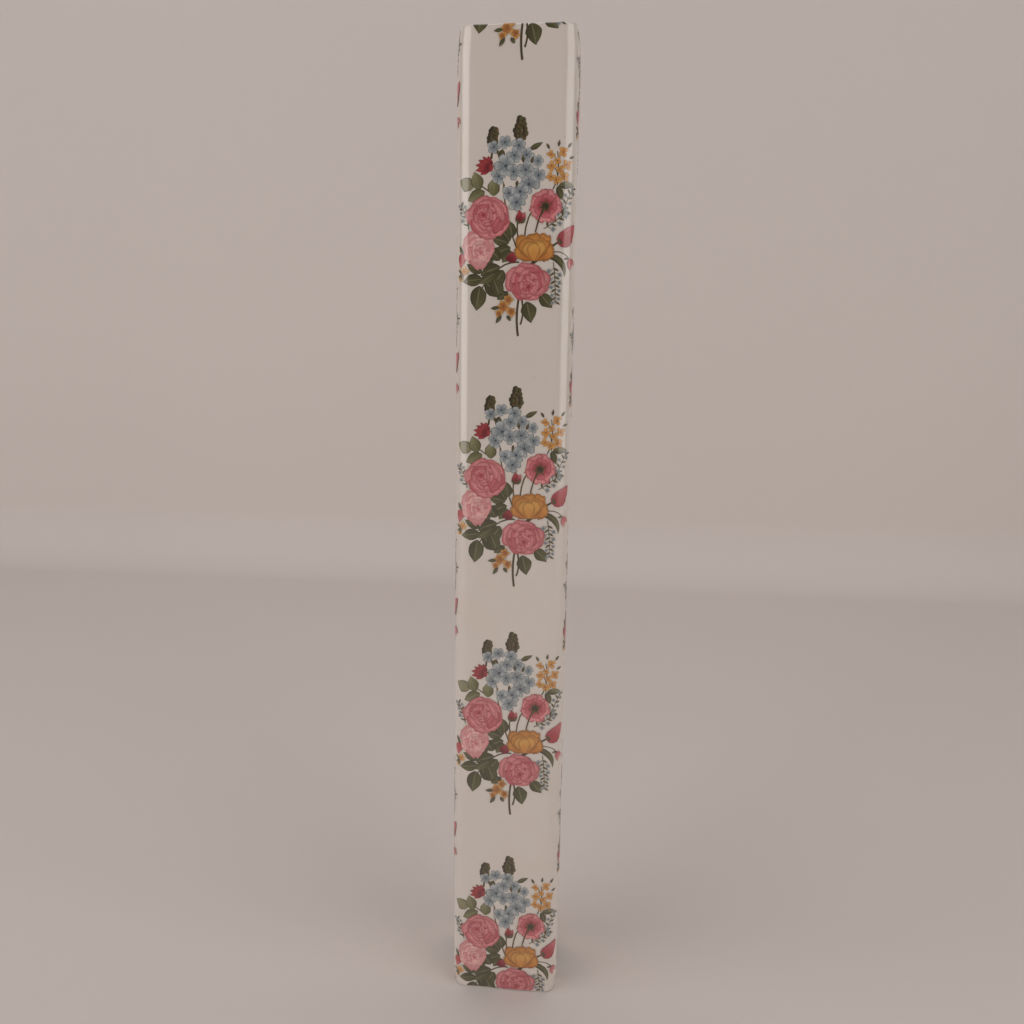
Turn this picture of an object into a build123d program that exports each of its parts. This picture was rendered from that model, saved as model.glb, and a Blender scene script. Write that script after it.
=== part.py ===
from build123d import *
import math
import os

# A tall, slim talcum powder tin: a rounded-square tinplate body closed by two pressed, recessed
# ends, with a sprinkler top whose shutter disc turns on a central rivet.
# Millimetres, +Z up, origin at the centre of the base, on the surface the tin stands on.

# Driving dimensions of the body
WIDTH = 28.0
DEPTH = 28.0
HEIGHT = 245.0
CORNER_RADIUS = 3.8
BODY_SHEET = 0.3
NECK_IN = 0.6
NECK_HEIGHT = 5.0
NECK_BLEND = 10.0
RIM_WIDTH = 0.8
RIM_LEG = 1.5
RIM_BEND = 0.3

# Side seam: the folded lap down the inside of the back wall, and its line of solder
SEAM_WIDTH = 3.0
SEAM_THICKNESS = 0.45
SEAM_GROOVE_WIDTH = 0.25
SEAM_GROOVE_DEPTH = 0.12
SEAM_SETBACK = 2.0
SOLDER_RADIUS = 0.4

# Pressed ends and the lining compound that seals them
END_SHEET = 0.25
END_BEND = 0.7
SEAL_THICKNESS = 0.15
SEAL_HEIGHT = 1.2
TOP_RECESS = 4.2
BASE_RECESS = 3.0
BASE_PANEL_RADIUS = 8.5
BASE_PANEL_STEP = 0.5
BASE_STEP_RUN = 1.2

# Sprinkler top
NECK_RADIUS = 8.6
NECK_RISE = 1.1
SIFTER_SHEET = 0.3
SIFTER_SKIRT = 0.8
SHUTTER_SHEET = 0.35
SHUTTER_RIM = 0.8
SHUTTER_TURN = 30.0
HOLES_PER_RING = 6
HOLE_RINGS = [(4.4, 0.7), (6.9, 0.8)]
STOP_WIDTH = 1.2
STOP_MARGIN = 0.1
RIB_COUNT = 36
RIB_RADIUS = 0.22
TAB_WIDTH = 5.0
TAB_HEIGHT = 1.5
TAB_CORNER = 0.9
TAB_RADIUS = 7.6

# Rivet and the washers on its tail
RIVET_RADIUS = 1.3
RIVET_HEAD_RADIUS = 2.4
RIVET_HEAD_HEIGHT = 0.7
RIVET_TAIL_RADIUS = 2.0
RIVET_TAIL_HEIGHT = 0.45
WASHER_RADIUS = 2.7
WASHER_SHEET = 0.3
SPRING_SHEET = 0.2
SPRING_BOW = 0.3

# Clearances
FIT = 0.02
SEAT_FIT = 0.05
RUNNING_FIT = 0.06
RIM_FIT = 0.15

# Levels and radii that follow from them
NECK_U = -NECK_IN - BODY_SHEET / 2
LEG_U = NECK_U - RIM_WIDTH
SKIRT_U = NECK_U - BODY_SHEET / 2 - SEAL_THICKNESS
RIM_INSIDE = BODY_SHEET + 0.2
TOP_FLOOR = HEIGHT - TOP_RECESS
NECK_OUTER = NECK_RADIUS + END_SHEET
NECK_TOP = TOP_FLOOR + NECK_RISE
SIFTER_INNER = NECK_OUTER + SEAT_FIT
SIFTER_OUTER = SIFTER_INNER + SIFTER_SHEET
SIFTER_UNDER = NECK_TOP + FIT
SIFTER_TOP = SIFTER_UNDER + SIFTER_SHEET
SHUTTER_INNER = SIFTER_OUTER + RIM_FIT
SHUTTER_OUTER = SHUTTER_INNER + SHUTTER_SHEET
SHUTTER_UNDER = SIFTER_TOP + SEAT_FIT
SHUTTER_TOP = SHUTTER_UNDER + SHUTTER_SHEET
SPRING_TOP = SIFTER_UNDER - FIT
WASHER_TOP = SPRING_TOP - SPRING_SHEET - SPRING_BOW - FIT
TAIL_TOP = WASHER_TOP - WASHER_SHEET - FIT


def ring_round(profile):
    """Carry a section round the rounded square. The section lies in the XZ plane with X = 0 on
    the body's outer face: straight along the four sides, turned about the four corner axes."""
    reach_x = WIDTH / 2 - CORNER_RADIUS
    reach_y = DEPTH / 2 - CORNER_RADIUS
    corner_section = Pos(CORNER_RADIUS, 0, 0) * profile
    corner = revolve(corner_section, Axis.Z, 90)
    side_x = extrude(profile, amount=reach_y, dir=(0, 1, 0), both=True)
    side_y = extrude(profile, amount=reach_x, dir=(0, 1, 0), both=True)
    parts = []
    for turn, side, reach in ((0, side_x, WIDTH), (90, side_y, DEPTH),
                              (180, side_x, WIDTH), (270, side_y, DEPTH)):
        parts.append(Rot(0, 0, turn) * Pos(reach / 2, 0, 0) * side)
    for turn, sx, sy in ((0, 1, 1), (90, -1, 1), (180, -1, -1), (270, 1, -1)):
        parts.append(Pos(sx * reach_x, sy * reach_y, 0) * Rot(0, 0, turn) * corner)
    return Part() + parts


def sheet_section(points, radii, thickness):
    """A strip of sheet metal seen end on: a bent centre line given half its thickness each side."""
    path = FilletPolyline(*[(u, 0, z) for u, z in points], radius=radii)
    one_side = path.offset_2d(thickness / 2, side=Side.LEFT, closed=False)
    other_side = path.offset_2d(thickness / 2, side=Side.RIGHT, closed=False)
    ends = [Line(one_side @ place, nearest_end(other_side, one_side @ place)) for place in (0, 1)]
    return make_face([*one_side.edges(), *other_side.edges(), *ends])


def nearest_end(wire, point):
    """Whichever end of an open wire lies nearer to a point."""
    return min((wire @ 0, wire @ 1), key=lambda end: (end - point).length)


def rounded_block(inset, bottom, top):
    """A rounded-square slab, inset from the body's outer face."""
    outline = RectangleRounded(
        WIDTH - 2 * inset, DEPTH - 2 * inset, CORNER_RADIUS - inset
    )
    return Pos(0, 0, bottom) * extrude(outline, amount=top - bottom)


def upright(radius, bottom, top):
    """A plain cylinder on the tin's axis."""
    return Pos(0, 0, bottom) * extrude(Circle(radius), amount=top - bottom)


def tube(inner, outer, bottom, top):
    return upright(outer, bottom, top) - upright(inner, bottom, top)


def sprinkler_holes(bottom, top, turn):
    """The pattern of powder holes, turned about the axis."""
    holes = Part()
    for ring_radius, hole_radius in HOLE_RINGS:
        ring = PolarLocations(ring_radius, HOLES_PER_RING, start_angle=turn)
        holes += ring * extrude(Circle(hole_radius), amount=top - bottom)
    return Pos(0, 0, bottom) * holes


def body_shell():
    """Tinplate sleeve, drawn in a little at both ends, each rim turned inwards over the end."""
    wall = -BODY_SHEET / 2
    low = BODY_SHEET / 2
    high = HEIGHT - BODY_SHEET / 2
    points = [
        (LEG_U, RIM_LEG), (LEG_U, low), (NECK_U, low), (wall, NECK_HEIGHT),
        (wall, HEIGHT - NECK_HEIGHT), (NECK_U, high), (LEG_U, high), (LEG_U, HEIGHT - RIM_LEG),
    ]
    radii = [RIM_BEND, RIM_BEND, NECK_BLEND, NECK_BLEND, RIM_BEND, RIM_BEND]
    shell = ring_round(sheet_section(points, radii, BODY_SHEET))
    back = DEPTH / 2
    low_end, high_end = seam_span()
    lap = Box(SEAM_WIDTH, SEAM_THICKNESS, high_end - low_end)
    lap = Pos(0, back - BODY_SHEET - SEAM_THICKNESS / 2, (low_end + high_end) / 2) * lap
    groove = Box(SEAM_GROOVE_WIDTH, 2 * SEAM_GROOVE_DEPTH, high_end - low_end)
    groove = Pos(-SEAM_WIDTH / 2, back, (low_end + high_end) / 2) * groove
    return shell + lap - groove


def seam_span():
    """The folded lap stops short of the necked ends."""
    inset = NECK_HEIGHT + SEAM_SETBACK
    return inset, HEIGHT - inset


def seam_solder():
    """A fillet of solder along one edge of the folded lap."""
    low_end, high_end = seam_span()
    corner = (SEAM_WIDTH / 2, DEPTH / 2 - BODY_SHEET)
    section = make_face([
        Line(corner, (corner[0] + SOLDER_RADIUS, corner[1])),
        RadiusArc(
            (corner[0] + SOLDER_RADIUS, corner[1]),
            (corner[0], corner[1] - SOLDER_RADIUS),
            SOLDER_RADIUS * 1.1,
        ),
        Line((corner[0], corner[1] - SOLDER_RADIUS), corner),
    ])
    return Pos(0, 0, low_end) * extrude(section, amount=high_end - low_end)


def end_pan(floor, rim, opening_radius):
    """A pressed end: an upright skirt held in the rim, a bend, and a flat floor with a round
    opening that its own centre pressing fills. floor is the floor's outer face."""
    inward = 1 if rim > floor else -1
    middle = floor - inward * END_SHEET / 2
    skirt_u = SKIRT_U - END_SHEET / 2
    lap_u = skirt_u - END_BEND - END_SHEET
    points = [
        (skirt_u, rim - inward * RIM_INSIDE), (skirt_u, middle), (lap_u, middle),
    ]
    skirt = ring_round(sheet_section(points, [END_BEND], END_SHEET))
    low = min(floor, floor - inward * END_SHEET)
    plate = rounded_block(-lap_u, low, low + END_SHEET)
    return skirt + plate - upright(opening_radius, low - 1, low + END_SHEET + 1)


def turned(points, radii, thickness):
    """A sheet section turned into a round pressing about the tin's axis."""
    return revolve(sheet_section(points, radii, thickness), Axis.Z, 360)


def bottom_end():
    """Recessed base with a shallow round stiffening step."""
    middle = BASE_RECESS + END_SHEET / 2
    pan = end_pan(BASE_RECESS, 0, BASE_PANEL_RADIUS)
    inner = BASE_PANEL_RADIUS - BASE_STEP_RUN
    raised = middle + BASE_PANEL_STEP
    step = turned(
        [(BASE_PANEL_RADIUS + 0.2, middle), (BASE_PANEL_RADIUS, middle), (inner, raised),
         (inner - 0.6, raised)],
        [0.3, 0.3],
        END_SHEET,
    )
    panel = upright(inner - 0.5, raised - END_SHEET / 2, raised + END_SHEET / 2)
    return pan + step + panel


def top_end():
    """Recessed top with an upturned round neck that carries the sprinkler plate."""
    middle = TOP_FLOOR - END_SHEET / 2
    neck_middle = NECK_RADIUS + END_SHEET / 2
    opening = neck_middle + 2 * END_BEND
    pan = end_pan(TOP_FLOOR, HEIGHT, opening)
    neck = turned(
        [(opening + 0.2, middle), (neck_middle, middle), (neck_middle, NECK_TOP)],
        [END_BEND / 2],
        END_SHEET,
    )
    return pan + neck


def seal_ring(rim):
    """Lining compound between an end's skirt and the body."""
    inward = -1 if rim > 0 else 1
    start = rim + inward * RIM_INSIDE
    low, high = sorted((start, start + inward * SEAL_HEIGHT))
    outer = NECK_U - BODY_SHEET / 2 - FIT
    inner = SKIRT_U + FIT
    section = make_face(
        Polyline((inner, 0, low), (outer, 0, low), (outer, 0, high), (inner, 0, high), close=True)
    )
    return ring_round(section)


def stop_angle(width):
    """The angle that a width takes up on the shutter's rim."""
    return math.degrees(width / SHUTTER_INNER)


def sifter_plate():
    """Perforated cap pressed over the neck, with a stop lug at the back of its skirt."""
    cap = upright(SIFTER_OUTER, SIFTER_UNDER - SIFTER_SKIRT, SIFTER_TOP)
    cap -= upright(SIFTER_INNER, SIFTER_UNDER - SIFTER_SKIRT, SIFTER_UNDER)
    cap -= sprinkler_holes(SIFTER_UNDER, SIFTER_TOP, 0)
    cap -= upright(RIVET_RADIUS + FIT, SIFTER_UNDER, SIFTER_TOP)
    lug_reach = SHUTTER_OUTER - SIFTER_INNER - FIT
    lug_high = SIFTER_UNDER - FIT
    lug_low = SIFTER_UNDER - SIFTER_SKIRT
    lug = Box(STOP_WIDTH, lug_reach, lug_high - lug_low)
    lug = Pos(0, SIFTER_INNER + lug_reach / 2, (lug_high + lug_low) / 2) * lug
    return cap + (lug - upright(SIFTER_INNER, lug_low, lug_high))


def shutter_disc():
    """Turning cap over the sprinkler plate. Its rim is ribbed for the finger and notched at the
    back, where the stop lug limits the turn. At rest its holes lie between the plate's."""
    rim_low = SHUTTER_UNDER - SHUTTER_RIM
    cap = upright(SHUTTER_OUTER, rim_low, SHUTTER_TOP)
    ribs = PolarLocations(SHUTTER_OUTER, RIB_COUNT)
    cap += ribs * (Pos(0, 0, rim_low) * extrude(Circle(RIB_RADIUS), amount=SHUTTER_TOP - rim_low))
    cap = chamfer_top_edge(cap)
    cap -= upright(SHUTTER_INNER, rim_low, SHUTTER_UNDER)
    cap -= sprinkler_holes(SHUTTER_UNDER, SHUTTER_TOP, SHUTTER_TURN)
    cap -= upright(RIVET_RADIUS + RUNNING_FIT, SHUTTER_UNDER, SHUTTER_TOP)
    cap -= stop_notch(rim_low)
    return cap + thumb_tab()


def chamfer_top_edge(cap):
    """Ease the cap's upper edge by cutting it back with a cone."""
    reach = SHUTTER_OUTER + 2 * RIB_RADIUS
    ease = SHUTTER_SHEET / 2 + RIB_RADIUS
    section = make_face(
        Polyline(
            (SHUTTER_OUTER + RIB_RADIUS - ease, 0, SHUTTER_TOP),
            (reach, 0, SHUTTER_TOP),
            (reach, 0, SHUTTER_TOP - ease - RIB_RADIUS),
            close=True,
        )
    )
    return cap - revolve(section, Axis.Z, 360)


def stop_notch(rim_low):
    """The gap in the rim that the stop lug runs in."""
    spare = stop_angle(STOP_WIDTH / 2 + STOP_MARGIN)
    start = 90 - SHUTTER_TURN - spare
    sweep_angle = SHUTTER_TURN + 2 * spare
    reach = SHUTTER_OUTER + 3 * RIB_RADIUS
    steps = [start + sweep_angle * share for share in (0, 0.5, 1)]
    far = [(reach * math.cos(math.radians(a)), reach * math.sin(math.radians(a))) for a in steps]
    near_radius = SHUTTER_INNER - SHUTTER_SHEET
    near = [(near_radius * math.cos(math.radians(a)), near_radius * math.sin(math.radians(a)))
            for a in steps]
    section = make_face([
        ThreePointArc(*far), Line(far[2], near[2]), ThreePointArc(*near), Line(near[0], far[0]),
    ])
    return Pos(0, 0, rim_low) * extrude(section, amount=SHUTTER_UNDER - rim_low)


def thumb_tab():
    """A lug lanced up from the disc to push with a fingertip, at the front of the disc."""
    outline = Rectangle(TAB_WIDTH, 2 * TAB_HEIGHT)
    outline = fillet(outline.vertices(), TAB_CORNER)
    tab = extrude(Plane.XZ * outline, amount=SHUTTER_SHEET / 2, both=True)
    tab = Pos(0, -TAB_RADIUS, SHUTTER_TOP) * tab
    return split(tab, Plane.XY.offset(SHUTTER_TOP - SHUTTER_SHEET / 2), keep=Keep.TOP)


def pivot_rivet():
    """Domed rivet: head on the shutter, shank through both plates, tail spread below."""
    head_low = SHUTTER_TOP + SEAT_FIT
    dome_radius = (RIVET_HEAD_RADIUS ** 2 + RIVET_HEAD_HEIGHT ** 2) / (2 * RIVET_HEAD_HEIGHT)
    dome = Pos(0, 0, head_low + RIVET_HEAD_HEIGHT - dome_radius) * Sphere(dome_radius)
    dome = split(dome, Plane.XY.offset(head_low), keep=Keep.TOP)
    shank = upright(RIVET_RADIUS, TAIL_TOP - RIVET_TAIL_HEIGHT, head_low)
    tail = upright(RIVET_TAIL_RADIUS, TAIL_TOP - RIVET_TAIL_HEIGHT, TAIL_TOP)
    tail = chamfer(tail.edges().sort_by(Axis.Z)[0], RIVET_TAIL_HEIGHT / 2)
    return dome + shank + tail


def spring_washer():
    """Bowed spring washer that keeps the shutter pressed on the sprinkler plate."""
    bow_radius = (WASHER_RADIUS ** 2 + SPRING_BOW ** 2) / (2 * SPRING_BOW)
    centre = SPRING_TOP - bow_radius
    barrel = Cylinder(bow_radius, 4 * WASHER_RADIUS) - Cylinder(
        bow_radius - SPRING_SHEET, 4 * WASHER_RADIUS
    )
    barrel = Pos(0, 0, centre) * Rot(90, 0, 0) * barrel
    low = SPRING_TOP - SPRING_BOW - 2 * SPRING_SHEET
    return tube(RIVET_RADIUS + RUNNING_FIT, WASHER_RADIUS, low, SPRING_TOP + SPRING_SHEET) & barrel


def clinch_washer():
    """Flat washer that the rivet's tail is spread against."""
    return tube(RIVET_RADIUS + FIT, WASHER_RADIUS, WASHER_TOP - WASHER_SHEET, WASHER_TOP)


NODES = {
    "body_shell": body_shell,
    "seam_solder": seam_solder,
    "bottom_end": bottom_end,
    "bottom_seal": lambda: seal_ring(0),
    "top_end": top_end,
    "top_seal": lambda: seal_ring(HEIGHT),
    "sifter_plate": sifter_plate,
    "shutter_disc": shutter_disc,
    "pivot_rivet": pivot_rivet,
    "spring_washer": spring_washer,
    "clinch_washer": clinch_washer,
}

os.makedirs("parts", exist_ok=True)
for node, build in NODES.items():
    export_step(build(), f"parts/{node}.step")
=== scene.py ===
import math
import random

import bmesh
import bpy
from mathutils import Matrix, Vector, noise


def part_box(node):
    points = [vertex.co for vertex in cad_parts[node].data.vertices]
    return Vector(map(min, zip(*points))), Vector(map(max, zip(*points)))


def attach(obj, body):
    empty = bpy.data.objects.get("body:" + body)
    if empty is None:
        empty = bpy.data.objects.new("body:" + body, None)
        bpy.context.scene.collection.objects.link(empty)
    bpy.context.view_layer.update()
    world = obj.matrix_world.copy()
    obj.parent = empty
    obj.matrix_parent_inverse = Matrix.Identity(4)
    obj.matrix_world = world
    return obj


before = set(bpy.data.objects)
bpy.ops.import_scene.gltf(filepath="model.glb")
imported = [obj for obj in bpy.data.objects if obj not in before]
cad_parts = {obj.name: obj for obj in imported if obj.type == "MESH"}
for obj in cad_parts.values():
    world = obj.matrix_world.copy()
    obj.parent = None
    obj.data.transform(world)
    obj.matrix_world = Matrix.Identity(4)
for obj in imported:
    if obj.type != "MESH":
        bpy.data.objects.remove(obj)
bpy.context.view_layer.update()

MM = 0.001

# ---------------------------------------------------------------------------------------------
# Body shell. A sleeve of thin tinplate with rounded corners, drawn in at both ends and seamed
# down the back. It is coated all over with warm white enamel, stoved to a satin gloss, which
# rubs through to the metal along the folded rims.

body_low, body_high = (Vector(corner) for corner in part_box("body_shell"))
HALF_WIDTH = (body_high.x - body_low.x) / 2
TIN_HEIGHT = body_high.z
VARNISH = {"Coat_Weight": 1.0, "Coat_Roughness": 0.10, "Coat_IOR": 1.7}
ENAMEL = (0.80, 0.73, 0.67)
ENAMEL_AGED = (0.78, 0.69, 0.61)
TINPLATE = (0.62, 0.60, 0.57)
DULLED_TIN = (0.30, 0.275, 0.25)
RIM_WEAR_REACH = 0.9


class Socket:
    """A value running through a finish, so that sums of values read as sums."""

    def __init__(self, tree, out):
        self.tree = tree
        self.out = out

    def maths(self, operation, other, turned=False):
        pair = (other, self) if turned else (self, other)
        node = add_node(self.tree, "ShaderNodeMath", {"operation": operation}, enumerate(pair))
        return Socket(self.tree, node.outputs[0])

    def __add__(self, other):
        return self.maths("ADD", other)

    def __radd__(self, other):
        return self.maths("ADD", other, turned=True)

    def __sub__(self, other):
        return self.maths("SUBTRACT", other)

    def __rsub__(self, other):
        return self.maths("SUBTRACT", other, turned=True)

    def __mul__(self, other):
        return self.maths("MULTIPLY", other)

    def __rmul__(self, other):
        return self.maths("MULTIPLY", other, turned=True)

    def __pow__(self, other):
        return self.maths("POWER", other)

    def over(self, low, high):
        """0 below low, 1 above high, and a smooth step between."""
        node = add_node(
            self.tree, "ShaderNodeMapRange", {"interpolation_type": "SMOOTHSTEP"},
            {"Value": self, "From Min": low, "From Max": high},
        )
        return Socket(self.tree, node.outputs[0])

    def size(self):
        return self.maths("ABSOLUTE", 0.0)

    def wave(self):
        return self.maths("SINE", 0.0)


def feed(tree, place, value):
    """Link a value into a socket, or set it there."""
    if isinstance(value, Socket):
        tree.links.new(value.out, place)
    elif hasattr(value, "__len__") and len(place.default_value) == 4:
        place.default_value = (*value[:3], 1.0)
    else:
        place.default_value = value


def add_node(tree, kind, settings=(), sockets=()):
    """Add one node: its settings first, then the value or link of each socket."""
    node = tree.nodes.new(kind)
    for name, value in dict(settings).items():
        setattr(node, name, value)
    for name, value in dict(sockets).items():
        feed(tree, node.inputs[name], value)
    return node


class Finish:
    """One material: its shader, and the nodes that feed it."""

    def __init__(self, name, **constants):
        self.material = bpy.data.materials.new(name)
        self.material.use_nodes = True
        self.tree = self.material.node_tree
        self.shader = self.tree.nodes["Principled BSDF"]
        for socket, value in constants.items():
            feed(self.tree, self.shader.inputs[socket.replace("_", " ")], value)

    def node(self, kind, settings=(), sockets=(), out=0):
        return Socket(self.tree, add_node(self.tree, kind, settings, sockets).outputs[out])

    def place(self):
        """Where a point is on the tin, in metres."""
        return self.node("ShaderNodeTexCoord", out="Object")

    def axes(self, vector):
        split = add_node(self.tree, "ShaderNodeSeparateXYZ", sockets={0: vector})
        return [Socket(self.tree, out) for out in split.outputs]

    def mottle(self, scale, detail=3.0, roughness=0.5, stretch=(1, 1, 1), vector=None):
        """Even random mottling, from 0 to 1."""
        spread = self.node(
            "ShaderNodeVectorMath", {"operation": "MULTIPLY"},
            {0: vector or self.place(), 1: stretch},
        )
        return self.node(
            "ShaderNodeTexNoise", {},
            {"Vector": spread, "Scale": scale, "Detail": detail, "Roughness": roughness},
        )

    def mix(self, share, first, second):
        """first where share is 0, second where it is 1."""
        return self.node(
            "ShaderNodeMix", {"data_type": "RGBA"}, {0: share, 6: first, 7: second}, out=2
        )

    def bump(self, height, distance, strength=1.0):
        return self.node(
            "ShaderNodeBump", {}, {"Height": height, "Distance": distance, "Strength": strength}
        )

    def surface(self, **sockets):
        """Feed the shader's own sockets."""
        for socket, value in sockets.items():
            feed(self.tree, self.shader.inputs[socket.replace("_", " ")], value)
        return self.material


def enamel_finish():
    """Warm white stoved enamel: a faint uneven tone, fine orange peel, a few rubbed specks, and
    bare metal where the folded rims have worn."""
    coat = Finish("satin_white_enamel", Specular_IOR_Level=0.5, IOR=1.5, **VARNISH)
    tone = coat.mottle(90, detail=4).over(0.42, 0.72)
    grime = coat.mottle(420, detail=5, roughness=0.65).over(0.60, 0.80)
    height = coat.axes(coat.place())[2]
    near_rim = (height - TIN_HEIGHT / 2).size().over(
        TIN_HEIGHT / 2 - RIM_WEAR_REACH * MM, TIN_HEIGHT / 2 + 0.1 * MM
    )
    patchy = coat.mottle(700, detail=4)
    worn = (near_rim * 0.62 + patchy * 0.55).over(0.80, 0.86)
    specks = coat.mottle(1500, detail=1.0).over(0.785, 0.80) * 0.55
    colour = coat.mix(tone * 0.55, ENAMEL, ENAMEL_AGED)
    colour = coat.mix(grime * 0.10, colour, DULLED_TIN)
    colour = coat.mix(specks, colour, DULLED_TIN)
    colour = coat.mix(worn, colour, TINPLATE)
    peel = coat.mottle(1900, detail=2.0)
    return coat.surface(
        Base_Color=colour,
        Roughness=0.36 + tone * 0.06 + grime * 0.10 - worn * 0.05,
        Metallic=worn,
        Normal=coat.bump(peel, 0.004 * MM, 0.5),
    )


def coat_node(node, finish):
    """Give a pressed piece its finish."""
    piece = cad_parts[node]
    for place in piece.material_slots:
        place.material = finish
    if not piece.material_slots:
        piece.data.materials.append(finish)


coat_node("body_shell", enamel_finish())

# ---------------------------------------------------------------------------------------------
# Side seam. The body sheet's two edges are hooked together, flattened inside the back wall and
# run with soft solder, which has gone dull grey.


def metal_finish(name, bright, dull, scratch, roughness):
    """Plain metal with fine rolling lines and dulled patches."""
    metal = Finish(name, Metallic=1.0)
    patches = metal.mottle(320, detail=5, roughness=0.6).over(0.35, 0.75)
    lines = metal.mottle(1400, detail=3, stretch=scratch)
    return metal.surface(
        Base_Color=metal.mix(patches * 0.7 + lines * 0.15, bright, dull),
        Roughness=roughness + patches * 0.18 + lines * 0.10,
        Normal=metal.bump(lines, 0.01 * MM, 0.35),
    )


SOLDER = (0.42, 0.41, 0.40)
coat_node("seam_solder", metal_finish("dull_solder", SOLDER, DULLED_TIN, (1, 1, 0.1), 0.5))

# ---------------------------------------------------------------------------------------------
# Printed bouquets. The flat sheet was printed with flowers before it was bent into the body, in
# columns that drop by about half a step in turn, so the print runs round the corners and over both
# ends, and is cut through at the back seam. Each bouquet is drawn flat in layers of ink, in
# millimetres, and then bent round the tin.

# How the print repeats, and how far its ink lies off the metal, in millimetres.
BOUQUET_STEP = 61.7
FIRST_BOUQUET = 44.4
HALF_DROP = 0.48
COLUMN_PITCH = 27.9
COLUMNS = range(-2, 3)
BOUQUET_REACH = 0.75
INK_CLEARANCE = 0.02
INK_LAYER = 0.00025

# The body that the print is bent round, in millimetres.
CORNER = 3.8
CORNER_FACETS = 12
NECK_IN = 0.6
NECK_HEIGHT = 5.0
NECK_CREASE = 0.15
RIM_BEND = 0.45
RIM_BEND_STEPS = 5
RIM_BEND_TURN = math.radians(62)
SEAM_OFFSET = 1.5
SEAM_MARGIN = 0.45


def ink(red, green, blue):
    """A printing ink, from its 0 to 255 display values to the shader's linear ones."""
    return tuple(((value / 255 + 0.055) / 1.055) ** 2.4 for value in (red, green, blue))


ROSE_DEEP = ink(164, 64, 76)
ROSE = ink(208, 112, 118)
ROSE_LIGHT = ink(228, 150, 150)
PALE_ROSE_DEEP = ink(206, 116, 124)
PALE_ROSE = ink(228, 162, 160)
PALE_ROSE_LIGHT = ink(244, 198, 190)
CRIMSON_DEEP = ink(122, 34, 42)
CRIMSON = ink(176, 66, 68)
BLUE_LINE = ink(72, 82, 92)
BLUE = ink(138, 146, 150)
BLUE_LIGHT = ink(188, 192, 192)
YELLOW_LINE = ink(140, 82, 34)
YELLOW_DEEP = ink(190, 116, 50)
YELLOW = ink(216, 148, 72)
YELLOW_LIGHT = ink(226, 168, 86)
AMBER_DEEP = ink(168, 106, 54)
AMBER = ink(210, 148, 78)
AMBER_LIGHT = ink(224, 172, 98)
LEAF_DEEP = ink(62, 58, 30)
LEAF = ink(98, 96, 58)
LEAF_LIGHT = ink(150, 146, 110)
SAGE = ink(146, 140, 108)
STEM = ink(98, 84, 52)
STEM_DARK = ink(62, 50, 34)
BUD_BROWN = ink(112, 92, 50)
CREAM = ink(236, 206, 152)


def oval(u):
    """Half-width of a petal, broadest towards its tip."""
    return math.sqrt(max(0.0, 1 - (2 * u ** 1.5 - 1) ** 2))


def fan(u):
    """Half-width of a broad petal, which keeps its width to a rounded rim."""
    return 1.25 * (1 - (1 - u) ** 1.6)


def almond(u):
    """Half-width of a leaf, pointed at both ends."""
    return math.sin(math.pi * u ** 0.85) ** 0.9 if 0 < u < 1 else 0.0


def teardrop(u):
    """Half-width of a bud, round below and pointed above."""
    return math.sin(math.pi * u ** 0.6) if 0 < u < 1 else 0.0


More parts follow.
